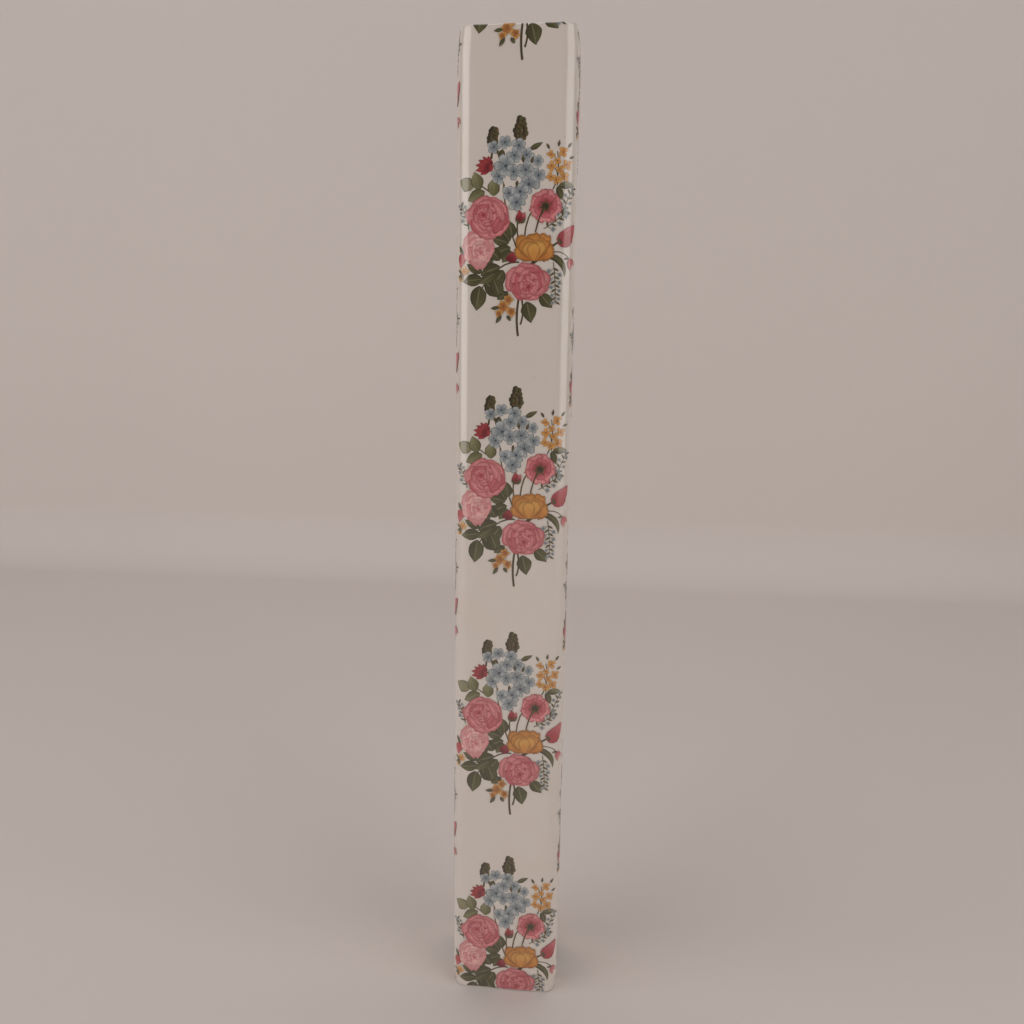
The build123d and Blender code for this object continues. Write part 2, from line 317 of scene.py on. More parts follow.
class Drawing:
    """A bouquet drawn flat, in millimetres right and up from its middle. Each shape lies one
    layer of ink above the last."""

    def __init__(self):
        self.mesh = bmesh.new()
        self.across = self.mesh.loops.layers.uv.new("petal")
        self.root_ink = self.mesh.loops.layers.float_color.new("root_ink")
        self.tip_ink = self.mesh.loops.layers.float_color.new("tip_ink")
        self.line_ink = self.mesh.loops.layers.float_color.new("line_ink")
        self.layers = 0
        self.chance = random.Random(11)

    def sheet(self, columns, rows, shape, inks, kind):
        """Add one patch of ink. shape places each point of a grid, from u along and v across.
        The grid is closer set towards both ends, which rounds them. inks are the ones at the
        patch's root, at its tip and along its outline."""
        grid = bmesh.ops.create_grid(self.mesh, x_segments=columns, y_segments=rows, size=0.5)
        self.layers += 1
        places = {}
        for vert in grid["verts"]:
            u, v = 0.5 - 0.5 * math.cos(math.pi * (vert.co.x + 0.5)), vert.co.y * 2
            places[vert] = (u, v)
            x, y = shape(u, v)
            vert.co = (x, y, self.layers * INK_LAYER)
        shade = self.chance.uniform(0.90, 1.10)
        root, tip, line = ([channel * shade for channel in colour] + [1.0] for colour in inks)
        for face in {face for vert in grid["verts"] for face in vert.link_faces}:
            face.material_index = kind
            face.smooth = True
            for loop in face.loops:
                loop[self.across].uv = places[loop.vert]
                loop[self.root_ink] = root
                loop[self.tip_ink] = tip
                loop[self.line_ink] = line

    def petal(self, x, y, turn, length, width, root, tip, outline=oval, bend=0.0, ruffle=0.0,
              notch=0.0, kind=0, columns=7, rows=6, line=None):
        """A petal or leaf from its base at x, y, pointing turn degrees up from the right."""
        heading = math.radians(turn)
        seed = self.chance.uniform(0, 100)

        def shape(u, v):
            reach, side = u, v * width / 2 * outline(u)
            if outline is fan:
                reach *= math.sqrt(1 - v * v / 2) * (1 - notch * (1 - v * v) ** 2 * u ** 4)
                side *= math.sqrt(1 - u * u / 2)
            reach *= 1 + ruffle * 0.5 * noise.noise((v * 2.6, seed, 0.0)) * u ** 3
            side *= 1 + ruffle * noise.noise((u * 4.0, math.copysign(3.1, v), seed))
            swing = bend * reach
            along = length * (math.sin(swing) / bend if bend else reach)
            aside = length * ((1 - math.cos(swing)) / bend if bend else 0.0)
            local_x = along - side * math.sin(swing)
            local_y = aside + side * math.cos(swing)
            return (
                x + local_x * math.cos(heading) - local_y * math.sin(heading),
                y + local_x * math.sin(heading) + local_y * math.cos(heading),
            )

        self.sheet(columns, rows, shape, (root, tip, line or root), kind)

    def leaf(self, x, y, turn, length, width, root=LEAF_DEEP, tip=LEAF, bend=0.0):
        self.petal(x, y, turn, length, width, root, tip, almond, bend, ruffle=0.18, kind=1,
                   columns=9, rows=6)

    def stem(self, start, middle, end, width, root=STEM, tip=STEM, taper=0.7):
        """A stalk drawn through three points."""
        start, middle, end = (Vector(point) for point in (start, middle, end))

        def shape(u, v):
            point = start.lerp(middle, u).lerp(middle.lerp(end, u), u)
            way = ((middle - start) * (1 - u) + (end - middle) * u).normalized()
            side = Vector((-way.y, way.x)) * (v * width / 2 * (1 - u * (1 - taper)))
            return point + side

        self.sheet(10, 2, shape, (root, tip, root), 2)

    def dot(self, x, y, radius, colour, edge=None):
        """A small round berry, anther or eye."""
        self.petal(x - radius, y, 0, 2 * radius, 2 * radius, edge or colour, colour,
                   lambda u: math.sqrt(max(0.0, 1 - (2 * u - 1) ** 2)), columns=5, rows=4)

    def garden_rose(self, x, y, radius, lean, deep, mid, light, squash=1.0):
        """A full rose: rings of overlapping petals, each ring smaller and leaning to one side.
        A ring is its number of petals, how far they reach and how broad they are."""
        rings = ((8, 1.00, 0.98), (7, 0.84, 0.90), (6, 0.67, 0.80), (6, 0.50, 0.66),
                 (5, 0.35, 0.50), (4, 0.22, 0.34))
        for level, (count, reach, breadth) in enumerate(rings):
            shift = (1 - reach) * 0.55
            middle_x = x + lean[0] * shift * radius
            middle_y = y + lean[1] * shift * radius
            first = self.chance.uniform(0, 360)
            for number in range(count):
                turn = first + 360 * number / count + self.chance.uniform(-7, 7)
                reach_here = radius * reach * self.chance.uniform(0.86, 1.07)
                flatten = math.hypot(math.cos(math.radians(turn)),
                                     squash * math.sin(math.radians(turn)))
                tip = light if (number + level) % 3 else mid
                self.petal(middle_x, middle_y, turn, reach_here * flatten,
                           radius * breadth * 1.15, deep, tip, fan, ruffle=0.28,
                           notch=self.chance.uniform(0.0, 0.14))
        for number in range(5):
            turn = 72 * number + 20
            self.petal(x + lean[0] * 0.5 * radius, y + lean[1] * 0.5 * radius, turn,
                       radius * 0.15, radius * 0.16, deep, mid, oval)

    def floret(self, x, y, radius, turn, petals=5, inks=(BLUE, BLUE_LIGHT, BLUE_LINE),
               eye=BLUE_LINE, outline=fan):
        """A small open flower: a few petals round an eye, each outlined in a darker ink."""
        root, tip, line = inks
        for number in range(petals):
            heading = turn + 360 * number / petals + self.chance.uniform(-9, 9)
            self.petal(x, y, heading, radius * self.chance.uniform(0.90, 1.16), radius * 0.80,
                       root, tip, outline, ruffle=0.34, notch=0.10, line=line)
        self.dot(x, y, radius * 0.15, eye, line)

    def sprig(self, start, end, sway, pairs, radius, inks, leafy=LEAF):
        """A little branch: a thin curved stalk set with small blooms and narrow leaves."""
        start, end = Vector(start), Vector(end)
        aside = Vector((start.y - end.y, end.x - start.x)).normalized()
        middle = (start + end) / 2 + aside * sway
        self.stem(start, middle, end, 0.20, STEM, LEAF)
        heading = math.degrees(math.atan2(end.y - start.y, end.x - start.x))
        for number in range(pairs):
            share = 0.15 + 0.85 * number / (pairs - 1)
            on = start.lerp(middle, share).lerp(middle.lerp(end, share), share)
            side = 1 if number % 2 else -1
            out = math.radians(heading + 62 * side)
            reach = radius * (2.3 - 1.1 * share)
            tip = on + Vector((math.cos(out), math.sin(out))) * reach
            self.stem(on, (on + tip) / 2, tip, 0.13, STEM, LEAF)
            self.floret(tip.x, tip.y, radius * (1.1 - 0.35 * share), 50 * number, 4, inks)
            self.petal(on.x, on.y, heading - 55 * side, radius * 2.1, radius * 0.75, LEAF_DEEP,
                       leafy, almond, kind=1, columns=5, rows=4)
        self.floret(end.x, end.y, radius * 0.7, 0, 4, inks)


def draw_stalks(art):
    """The stalks that the flowers stand on."""
    art.stem((1.2, -15.6), (0.2, -20.5), (1.0, -25.3), 0.50, STEM, STEM_DARK, 1.1)
    art.stem((1.4, -15.4), (2.7, -19.5), (1.5, -22.6), 0.46, STEM, STEM_DARK, 0.9)
    art.stem((1.0, -6.5), (-2.6, 2.0), (-2.9, 9.5), 0.38)
    art.stem((1.8, -7.5), (-0.6, 0.5), (1.2, 2.6), 0.42)
    art.stem((2.0, -8.0), (1.6, 6.0), (7.3, 4.6), 0.42)
    art.stem((3.4, -9.0), (6.8, -5.4), (11.3, -2.9), 0.62, STEM_DARK, STEM)
    art.stem((3.6, -9.4), (9.6, -3.2), (12.9, -7.6), 0.30)
    art.stem((8.5, 8.2), (10.3, 11.0), (9.4, 16.6), 0.30, STEM_DARK, STEM)
    art.stem((-5.4, 13.6), (-4.0, 12.6), (-2.6, 9.0), 0.30)
    art.stem((-5.4, 7.2), (-8.0, 9.4), (-11.0, 10.4), 0.34)
    art.stem((1.0, -8.2), (-4.0, -7.6), (-8.4, -15.4), 0.40, STEM_DARK, STEM)


def draw_pale_leaves(art):
    """Oval leaves behind the left rose."""
    art.leaf(-9.9, 8.6, 152, 4.0, 3.3, SAGE, LEAF_LIGHT)
    art.leaf(-8.4, 8.2, 108, 4.3, 2.9, LEAF, LEAF_LIGHT)
    art.leaf(-5.2, 6.8, 88, 4.2, 3.0, LEAF, LEAF_LIGHT)
    art.leaf(-7.2, 7.9, 208, 4.4, 3.0, LEAF, SAGE)


def draw_dark_leaves(art):
    """Dark compound leaves, lower left and in the middle."""
    art.leaf(-7.6, -10.6, 152, 4.2, 2.3)
    art.leaf(-7.6, -12.0, 188, 4.8, 3.0)
    art.leaf(-3.4, -9.2, 196, 5.0, 3.2, bend=0.25)
    art.leaf(-7.0, -12.6, 316, 5.2, 3.2)
    art.leaf(-8.2, -13.6, 262, 5.8, 4.0)
    art.leaf(-2.6, -10.0, 236, 5.4, 3.8)
    art.leaf(-5.0, -12.0, 292, 5.2, 3.2)
    art.leaf(-1.6, -6.6, 166, 4.8, 2.8)
    art.leaf(-4.6, -10.6, 214, 4.4, 2.6)
    art.leaf(-5.0, -8.0, 168, 4.0, 2.4)
    for x, y, turn, length in ((-1.2, -3.4, 122, 4.6), (-1.4, -3.8, 158, 4.4), (-1.0, -4.8, 196, 4.4),
                               (-0.8, -2.6, 92, 3.8), (-0.8, -5.6, 222, 3.4), (-3.6, -7.8, 122, 3.4)):
        art.leaf(x, y, turn, length, 2.7, LEAF_DEEP, LEAF, bend=0.3)
    art.leaf(1.2, -6.6, 62, 2.8, 1.2)
    art.leaf(6.9, -8.2, 104, 2.6, 0.9)


def draw_rose_leaves(art):
    """Leaves round the lower rose."""
    art.leaf(2.9, -17.2, 284, 5.0, 3.6)
    art.leaf(6.0, -15.4, 312, 4.4, 3.0)
    art.leaf(-1.4, -15.0, 214, 3.2, 1.9)


def draw_strap_leaf(art):
    """A strap leaf that curls down at the right."""
    art.petal(6.6, -6.9, 14, 8.2, 1.6, LEAF_DEEP, LEAF, almond, -2.0, kind=1, columns=12)


def draw_bud_spikes(art):
    """Brown bud spikes above the blue flowers, each a cluster of berries."""
    berries = 15
    for centre_x, centre_y, height in ((0.9, 21.6, 4.6), (-5.4, 19.9, 3.6)):
        art.stem((centre_x - 0.4, centre_y - 4.8), (centre_x, centre_y - 2), (centre_x, centre_y),
                 0.5, STEM_DARK, STEM)
        for number in range(berries):
            share = number / (berries - 1)
            side = (-1, 1, 0)[number % 3] * (0.3 + 0.55 * math.sin(math.pi * share ** 0.8))
            side += art.chance.uniform(-0.25, 0.25)
            art.dot(centre_x + side, centre_y - height / 2 + height * share,
                    art.chance.uniform(0.62, 0.88) - 0.15 * share,
                    BUD_BROWN if number % 2 else LEAF, STEM_DARK)
    art.leaf(3.0, 17.0, 28, 3.4, 1.2, LEAF_DEEP, LEAF)
    art.leaf(-3.2, 17.2, 262, 3.0, 1.7, LEAF_DEEP, BUD_BROWN)


def draw_blue_flowers(art):
    """A head of small grey-blue flowers."""
    for x, y, radius, turn in ((-5.2, 17.7, 1.7, 10), (-2.7, 18.7, 1.8, 50), (0.5, 18.0, 2.0, 80),
                               (-0.4, 15.8, 2.0, 20), (2.4, 15.9, 1.8, 65), (-4.0, 11.2, 1.9, 5),
                               (-2.4, 13.5, 2.7, 35), (5.0, 14.5, 1.5, 0), (-0.6, 12.2, 1.9, 60),
                               (2.2, 12.6, 2.2, 12), (5.2, 11.3, 1.9, 40), (3.0, 9.4, 2.5, 55),
                               (-1.6, 7.4, 1.9, 70), (1.0, 7.8, 2.2, 25), (0.2, 5.4, 2.2, 5)):
        art.floret(x, y, radius, turn)
    for x, y, turn in ((1.6, 14.2, 95), (3.4, 14.0, 70), (-3.9, 15.6, 110), (0.3, 10.3, 265)):
        art.leaf(x, y, turn, 1.7, 0.7, STEM_DARK, LEAF)


def draw_tassel(art):
    """The crimson tassel flower, upper left."""
    for turn, length in ((205, 2.6), (182, 3.4), (160, 3.5), (138, 3.4), (116, 3.1), (94, 2.8),
                         (170, 2.4), (146, 2.6), (122, 2.4)):
        art.petal(-6.0, 13.0, turn, length, 1.5, CRIMSON_DEEP, CRIMSON, almond, 0.25, 0.2)
    art.dot(-6.2, 13.1, 0.9, CRIMSON, CRIMSON_DEEP)


def draw_amber_spray(art):
    """The amber spray, upper right: blossoms on a branching stalk."""
    for x, y in ((8.2, 15.9), (10.9, 16.3), (8.0, 13.5), (11.6, 13.6), (8.2, 11.2), (11.2, 11.2)):
        art.stem((9.5, y - 2.2), (9.5, y - 0.8), (x, y), 0.18, STEM_DARK, STEM)
    for number, (x, y, radius) in enumerate((
            (8.0, 15.9, 0.95), (10.8, 16.4, 1.1), (9.5, 14.5, 0.8), (8.1, 13.4, 1.15),
            (11.6, 13.6, 1.15), (10.0, 12.6, 0.8), (8.0, 11.0, 1.0), (11.1, 11.0, 1.2),
            (9.3, 10.2, 1.0))):
        art.floret(x, y, radius * 1.15, 31 * number, 4, (AMBER, AMBER_LIGHT, AMBER_DEEP), STEM_DARK)
    for x, y, turn in ((9.6, 17.6, 80), (11.8, 17.4, 50), (7.6, 17.1, 120), (12.2, 15.0, 20)):
        art.leaf(x, y, turn, 1.5, 0.6, STEM_DARK, BUD_BROWN)
    art.leaf(9.8, 8.9, 14, 3.8, 1.7, LEAF_DEEP, LEAF_LIGHT, -0.5)
    art.leaf(9.6, 8.9, 290, 3.2, 1.6, LEAF_DEEP, LEAF)


def draw_sprigs(art):
    """Grey-blue sprigs at both sides."""
    grey_blue = (BLUE, BLUE_LIGHT, BLUE_LINE)
    art.sprig((10.6, 1.6), (13.4, 8.2), 0.8, 6, 0.62, grey_blue)
    art.sprig((6.6, -0.6), (11.6, 3.2), -0.5, 6, 0.68, grey_blue)
    art.sprig((-10.9, -0.6), (-13.0, 4.6), -0.7, 6, 0.62, grey_blue)
    art.sprig((9.0, -8.2), (9.6, -17.2), 0.4, 9, 0.64, grey_blue)


def draw_stars(art):
    """Cream and amber stars near the foot."""
    for x, y, radius in ((-12.0, -10.3, 1.3), (-12.9, -12.0, 0.8)):
        art.floret(x, y, radius, 18, 5, (AMBER, CREAM, AMBER_DEEP), AMBER_DEEP, almond)
    for turn in (150, 215, 255):
        art.leaf(-12.4, -10.8, turn, 1.7, 0.6)
    for x, y, radius, turn in ((-1.4, -16.8, 1.3, 0), (-2.6, -18.4, 1.6, 30), (-0.6, -19.6, 1.2, 50),
                               (-3.6, -20.0, 1.0, 10)):
        art.floret(x, y, radius, turn, 5, (AMBER_DEEP, AMBER_LIGHT, AMBER_DEEP), STEM_DARK, almond)
    for x, y, turn, length in ((-3.4, -18.6, 188, 2.2), (-3.0, -20.4, 236, 2.4), (-1.6, -20.4, 300, 1.6),
                               (-2.0, -15.6, 150, 1.8)):
        art.leaf(x, y, turn, length, 0.9)


def draw_anemone(art):
    """The open anemone, right, with a ring of dark stamens."""
    for number in range(7):
        art.petal(6.9, 4.5, 51.4 * number + 18, 4.2, 4.4, ROSE, ROSE_LIGHT, fan, ruffle=0.42,
                  notch=0.18, rows=8, line=ROSE_DEEP)
    for number in range(5):
        art.petal(6.9, 4.5, 72 * number + 5, 3.0, 3.3, ROSE_DEEP, ROSE, fan, ruffle=0.4, notch=0.14)
    for number in range(13):
        art.petal(6.9, 4.4, 27.7 * number, 1.3 + 0.7 * (number % 2), 0.40, STEM_DARK, BUD_BROWN,
                  almond, kind=2, columns=4, rows=2)
    art.dot(6.9, 4.4, 0.75, LEAF_DEEP, STEM_DARK)
    art.stem((6.7, 4.2), (5.4, 2.2), (4.7, -1.4), 0.42, STEM_DARK, STEM)


def draw_left_roses(art):
    """A pale rose, and the full rose that overlaps it."""
    art.petal(-12.4, -6.2, 258, 3.4, 2.3, CRIMSON, ROSE, teardrop)
    art.leaf(-12.4, -6.4, 118, 2.2, 0.8, LEAF_DEEP, LEAF)
    art.garden_rose(-8.5, -5.0, 4.2, (0.25, -0.45), PALE_ROSE_DEEP, PALE_ROSE, PALE_ROSE_LIGHT, 1.14)
    art.garden_rose(-6.0, 2.2, 5.3, (-0.55, 0.15), ROSE_DEEP, ROSE, ROSE_LIGHT, 1.04)


def draw_crimson_buds(art):
    """Crimson buds between the flowers."""
    art.petal(1.2, 0.7, 96, 3.0, 2.2, CRIMSON_DEEP, CRIMSON, teardrop)
    art.petal(1.5, 0.8, 74, 2.5, 1.1, CRIMSON_DEEP, ROSE, almond)
    art.leaf(1.1, 0.6, 140, 1.5, 0.7, LEAF_DEEP, LEAF)
    art.leaf(1.3, 0.6, 48, 1.6, 0.7, LEAF_DEEP, LEAF)
    art.petal(-1.2, -8.2, 72, 2.6, 2.4, CRIMSON_DEEP, CRIMSON, teardrop)
    art.petal(-1.0, -8.2, 44, 2.2, 1.4, CRIMSON_DEEP, ROSE_DEEP, almond)


def draw_globe_flower(art):
    """The globe flower: petals rise from its foot and close over one another."""
    globe = (YELLOW_DEEP, YELLOW)
    for turn, length, width in ((122, 7.2, 4.2), (62, 7.4, 4.2), (92, 6.8, 4.6), (146, 5.6, 3.8),
                                (36, 5.8, 3.8), (116, 6.2, 4.6), (66, 6.2, 4.6)):
        art.petal(4.5, -7.8, turn, length, width, *globe, fan, ruffle=0.3, notch=0.08,
                  line=YELLOW_LINE)
    for turn, length, width in ((112, 4.9, 3.8), (72, 5.0, 3.8), (93, 4.4, 3.4)):
        art.petal(4.5, -7.9, turn, length, width, YELLOW, YELLOW_LIGHT, fan, ruffle=0.2,
                  line=YELLOW_LINE)


def draw_right_buds(art):
    """The tulip bud and the drooping bud at the right."""
    art.petal(10.7, -4.7, 64, 5.9, 3.9, ROSE_DEEP, ROSE, teardrop, -0.2)
    art.petal(11.0, -4.6, 52, 5.9, 2.2, CRIMSON, ROSE, almond, 0.2)
    art.leaf(10.8, -4.2, 118, 1.8, 0.8, LEAF_DEEP, LEAF)
    art.petal(12.8, -7.4, 278, 2.6, 1.3, ROSE, PALE_ROSE, almond)
    art.petal(13.0, -7.3, 312, 2.2, 0.9, ROSE, PALE_ROSE, almond)
    art.leaf(12.6, -7.2, 196, 1.2, 0.5, LEAF_DEEP, LEAF)


def draw_front_rose(art):
    """The lower rose, in front of everything."""
    art.garden_rose(2.9, -12.6, 5.4, (0.15, -0.45), ROSE_DEEP, ROSE, ROSE_LIGHT, 0.86)


def draw_bouquet():
    """The repeat: a loose mixed bunch, roses below and to the left, blue flowers at the top."""
    art = Drawing()
    for draw in (
            draw_stalks, draw_pale_leaves, draw_dark_leaves, draw_rose_leaves, draw_strap_leaf,
            draw_bud_spikes, draw_blue_flowers, draw_tassel, draw_amber_spray, draw_sprigs,
            draw_stars, draw_anemone, draw_left_roses, draw_crimson_buds, draw_globe_flower,
            draw_right_buds, draw_front_rose,
    ):
        draw(art)
    return art.mesh


def laid_ink(finish, name):
    """One of the inks that each patch was given."""
    return finish.node("ShaderNodeAttribute", {"attribute_name": name}, out="Color")


def petal_finish():
    """Petal ink: paler to the rim, fine lines along the petal, and a thin dark edge."""
    print_ink = Finish("petal_ink", Roughness=0.36, **VARNISH)
    across = print_ink.node("ShaderNodeUVMap", {"uv_map": "petal"})
    along, side = print_ink.axes(across)[:2]
    root = laid_ink(print_ink, "root_ink")
    tip = laid_ink(print_ink, "tip_ink")
    streaks = print_ink.mottle(2.2, detail=3, stretch=(0.7, 5.0, 1), vector=across)
    grain = print_ink.mottle(5200, detail=2.0)
    line = laid_ink(print_ink, "line_ink")
    share = (along * 1.15 - 0.25 + (streaks - 0.5) * 0.9 + (grain - 0.5) * 0.35).over(0.05, 0.80)
    colour = print_ink.mix(share, root, tip)
    outline = (side.size().over(0.68, 0.95) + along.over(0.80, 0.98)).maths("MINIMUM", 1.0)
    hatch = ((side * 11 + streaks * 5) * math.tau).wave().over(0.35, 1.0) * (1 - along * 0.7)
    colour = print_ink.mix(outline * 0.62 + hatch * 0.16, colour, line)
    return print_ink.surface(Base_Color=colour)


def leaf_finish():
    """Leaf ink: light midrib and side veins over two greens."""
    print_ink = Finish("leaf_ink", Roughness=0.36, **VARNISH)
    across = print_ink.node("ShaderNodeUVMap", {"uv_map": "petal"})
    along, side = print_ink.axes(across)[:2]
    root = laid_ink(print_ink, "root_ink")
    tip = laid_ink(print_ink, "tip_ink")
    grain = print_ink.mottle(4200, detail=3.0)
    veins = ((along * 9 - side.size() * 3.2) * math.tau).wave().over(0.55, 1.0)
    midrib = 1 - side.size().over(0.03, 0.14)
    share = (along * 0.6 + side * 0.28 + (grain - 0.5) * 0.9).over(0.0, 0.85)
    colour = print_ink.mix(share, root, tip)
    colour = print_ink.mix(veins * 0.42 + midrib * 0.45, colour, LEAF_LIGHT)
    colour = print_ink.mix(side.size().over(0.72, 0.95) * 0.75, colour, LEAF_DEEP)
    return print_ink.surface(Base_Color=colour)


def stem_finish():
    """Stalk ink: darker down one side."""
    print_ink = Finish("stem_ink", Roughness=0.36, **VARNISH)
    side = print_ink.axes(print_ink.node("ShaderNodeUVMap", {"uv_map": "petal"}))[1]
    root = laid_ink(print_ink, "root_ink")
    tip = laid_ink(print_ink, "tip_ink")
    grain = print_ink.mottle(4200, detail=2.0)
    colour = print_ink.mix((side * 0.8 + grain).over(0.1, 0.9), root, tip)
    return print_ink.surface(Base_Color=colour)


def round_the_body():
    """The body's outline as a strip: distance round from the middle of the front, and the point
    and outward direction there. The corners are a few short flats, for ink to lie on evenly."""
    flat = HALF_WIDTH / MM - CORNER
    quarter_turn = math.pi / 2
    quarter = 2 * flat + quarter_turn * CORNER
    strip = []
    for side in range(-3, 3):
        for share in range(CORNER_FACETS + 1):
            angle = quarter_turn * (side + share / CORNER_FACETS) - quarter_turn
            heading = Vector((math.cos(angle), math.sin(angle)))
            turn = quarter_turn * side - math.pi / 4
            corner = Vector((math.cos(turn), math.sin(turn))) * flat * math.sqrt(2)
            distance = quarter * side + flat + quarter_turn * CORNER * share / CORNER_FACETS
            strip.append((distance, corner + heading * CORNER, heading))
    return quarter, strip


def up_the_body():
    """The body's side as a strip: distance up the surface, how far it is drawn in, its height,
    and the outward direction. It follows the drawn-in ends and the start of the top rim."""
    height = TIN_HEIGHT / MM
    slope = math.atan2(NECK_IN, NECK_HEIGHT)
    reach = NECK_HEIGHT - RIM_BEND
    drawn = NECK_IN * reach / (NECK_HEIGHT - NECK_CREASE)
    level = Vector((1, 0))
    tilted = Vector((math.cos(slope), math.sin(slope)))
    places = [((-drawn, RIM_BEND), (tilted.x, -tilted.y)), ((0, NECK_HEIGHT), level),
              ((0, height - NECK_HEIGHT), level)]
    for step in range(RIM_BEND_STEPS + 1):
        angle = slope + (RIM_BEND_TURN - slope) * step / RIM_BEND_STEPS
        inset = -drawn - RIM_BEND + RIM_BEND * math.cos(angle)
        places.append(((inset, height - RIM_BEND + RIM_BEND * math.sin(angle)),
                       (math.cos(angle), math.sin(angle))))
    strip = []
    distance = RIM_BEND
    last = Vector(places[0][0])
    for (inset, level_here), heading in places:
        distance += (Vector((inset, level_here)) - last).length
        last = Vector((inset, level_here))
        strip.append((distance, last, Vector(heading)))
    return strip


def along_strip(strip, distance):
    """The point and direction at a distance along a strip."""
    for (low, point_low, way_low), (high, point_high, way_high) in zip(strip, strip[1:]):
        if distance <= high:
            break
    share = (distance - low) / (high - low)
    return point_low.lerp(point_high, share), way_low.lerp(way_high, share)


QUARTER, OUTLINE = round_the_body()
SIDE = up_the_body()


def cut(mesh, place, direction, keep_below=False, keep_above=False):
    """Cut the flat print along a line, and drop one side of it if asked."""
    bmesh.ops.bisect_plane(
        mesh, geom=[*mesh.verts, *mesh.edges, *mesh.faces], plane_co=place, plane_no=direction,
        clear_outer=keep_below, clear_inner=keep_above,
    )


def bend_round(mesh):
    """Lay the flat print on the body."""
    for vert in mesh.verts:
        outline, outward = along_strip(OUTLINE, vert.co.x)
        (inset, level), heading = along_strip(SIDE, vert.co.y)
        lift = INK_CLEARANCE + vert.co.z
        flat = outline + outward * (inset + heading.x * lift)
        vert.co = Vector((flat.x, flat.y, level + heading.y * lift)) * MM


def print_column(number, flat, inks):
    """One column of bouquets, counted round the tin from the middle of the front."""
    lowest, highest = SIDE[0][0], SIDE[-1][0]
    sheet_start = SEAM_OFFSET - 2 * QUARTER + SEAM_MARGIN
    sheet_end = SEAM_OFFSET + 2 * QUARTER - SEAM_MARGIN
    middle = COLUMN_PITCH * number
    drop = HALF_DROP if number % 2 else 0.0
    height = TIN_HEIGHT / MM - FIRST_BOUQUET + BOUQUET_STEP * (1 - drop)
    row = 0
    while height + BOUQUET_STEP / 2 > lowest:
        mesh = flat.copy()
        bmesh.ops.translate(mesh, verts=mesh.verts, vec=(middle, height, 0))
        height -= BOUQUET_STEP
        row += 1
        cut(mesh, (0, lowest, 0), (0, 1, 0), keep_above=True)
        cut(mesh, (0, highest, 0), (0, 1, 0), keep_below=True)
        cut(mesh, (sheet_start, 0, 0), (1, 0, 0), keep_above=True)
        cut(mesh, (sheet_end, 0, 0), (1, 0, 0), keep_below=True)
        if not mesh.faces:
            continue
        for distance, _, _ in SIDE[1:-1]:
            cut(mesh, (0, distance, 0), (0, 1, 0))
        for distance, _, _ in OUTLINE:
            if abs(distance - middle) < COLUMN_PITCH * BOUQUET_REACH:
                cut(mesh, (distance, 0, 0), (1, 0, 0))
        bend_round(mesh)
        place = number - COLUMNS[0] + 1
        piece = bpy.data.objects.new(f"print_column{place}_row{row}", bpy.data.meshes.new("bouquet"))
        mesh.to_mesh(piece.data)
        mesh.free()
        for finish in inks:
            piece.data.materials.append(finish)
        bpy.context.scene.collection.objects.link(piece)
        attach(piece, "tin")


bouquet = draw_bouquet()
inks = [petal_finish(), leaf_finish(), stem_finish()]
for column in COLUMNS:
    print_column(column, bouquet, inks)
bouquet.free()

# ---------------------------------------------------------------------------------------------
# Bottom end. A recessed pan pressed from plain tinplate, with a round step to stiffen it, held in
# the body's folded rim on a ring of lining compound.

COMPOUND_DARK = (0.30, 0.27, 0.22)
COMPOUND_PALE = (0.40, 0.36, 0.30)
plain_tin = metal_finish("plain_tinplate", TINPLATE, DULLED_TIN, (1, 0.08, 1), 0.30)
coat_node("bottom_end", plain_tin)


def compound_finish():
    """Dried lining compound, dull and slightly rough."""
    lining = Finish("lining_compound")
    grain = lining.mottle(1600, detail=4)
    return lining.surface(
        Base_Color=lining.mix(grain, COMPOUND_DARK, COMPOUND_PALE),
        Roughness=0.75 + grain * 0.15,
        Normal=lining.bump(grain, 0.03 * MM, 0.6),
    )


compound = compound_finish()
coat_node("bottom_seal", compound)

# ---------------------------------------------------------------------------------------------
# Top end and sprinkler plate. The top is a recessed pan with an upturned neck; the perforated
# plate is pressed over the neck. Both are plain tinplate, with traces of powder left in them.

TALC = (0.82, 0.80, 0.77)
TALC_BED = TIN_HEIGHT - 4.4 * MM
TALC_TOP = TIN_HEIGHT - 3.2 * MM


def dusted_finish():
    """Plain tinplate with talc caught in the corners of the recess."""
    metal = Finish("dusted_tinplate")
    patches = metal.mottle(320, detail=5, roughness=0.6).over(0.35, 0.75)
    lines = metal.mottle(1400, detail=3, stretch=(1, 0.08, 1))
    height = metal.axes(metal.place())[2]
    low_lying = 1 - height.over(TALC_BED, TALC_TOP)
    powder = (low_lying * 0.35 + metal.mottle(900, detail=6, roughness=0.7)).over(0.66, 0.90)
    colour = metal.mix(patches * 0.7 + lines * 0.15, TINPLATE, DULLED_TIN)
    return metal.surface(
        Base_Color=metal.mix(powder * 0.7, colour, TALC),
        Metallic=1 - powder * 0.7,
        Roughness=0.32 + patches * 0.18 + powder * 0.35,
        Normal=metal.bump(lines + powder, 0.015 * MM, 0.4),
    )


dusted_tin = dusted_finish()
coat_node("top_end", dusted_tin)
coat_node("top_seal", compound)
coat_node("sifter_plate", dusted_tin)

# ---------------------------------------------------------------------------------------------
# Shutter disc. The turning cap is ivory-lacquered tinplate with a ribbed rim and a thumb tab; the
# lacquer has rubbed off the tab and the ribs, and fingers have drawn arcs round the rivet.

IVORY = (0.78, 0.71, 0.60)
IVORY_AGED = (0.70, 0.60, 0.47)
RIBS_START = 9.3 * MM
RIBS_END = 9.8 * MM
TAB_FOOT = TIN_HEIGHT - 1.5 * MM
TAB_EDGE = TIN_HEIGHT - 1.0 * MM
ARC_SPACING = 1800.0


